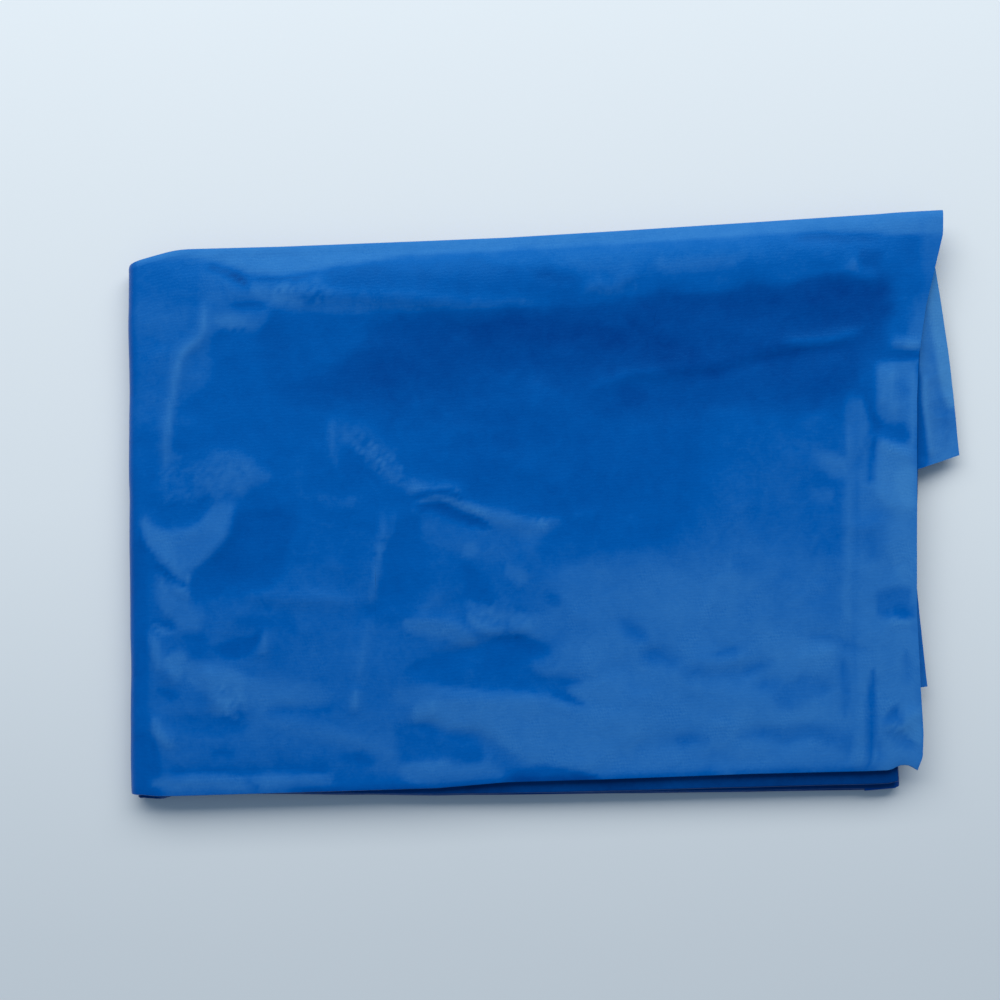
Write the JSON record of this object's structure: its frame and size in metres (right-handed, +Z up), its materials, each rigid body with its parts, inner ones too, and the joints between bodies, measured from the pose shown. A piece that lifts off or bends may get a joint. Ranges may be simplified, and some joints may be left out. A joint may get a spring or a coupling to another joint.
{
  "type": "folded pvc apron",
  "caption": "Plain blue waterproof bib apron of thin embossed film, folded flat into a layered rectangular packet with a loose corner of the bib showing.",
  "frame": {"origin": "under the middle of the packet's outline, on the surface that it lies on", "axes": "+Z up, through the packet's thickness; +X along its length, towards the loose ends; +Y towards the book folds"},
  "size_m": [0.3207, 0.2256, 0.012],
  "materials": {
    "skirt_film": "semi-gloss PVC film with a fine embossed grain and soft creases",
    "bib_film": "the same film in one or two layers, a little see-through and paler",
    "back_film": "the same film in one or two layers, a little see-through and paler",
    "inner_film": "the same film, seen only as stacked folds at the packet's edges"
  },
  "bodies": {
    "root": {"outer_sheet": "skirt_film", "bib_end": "bib_film", "back_skirt_end": "back_film", "hidden_layers": "inner_film"}
  },
  "joints": []
}
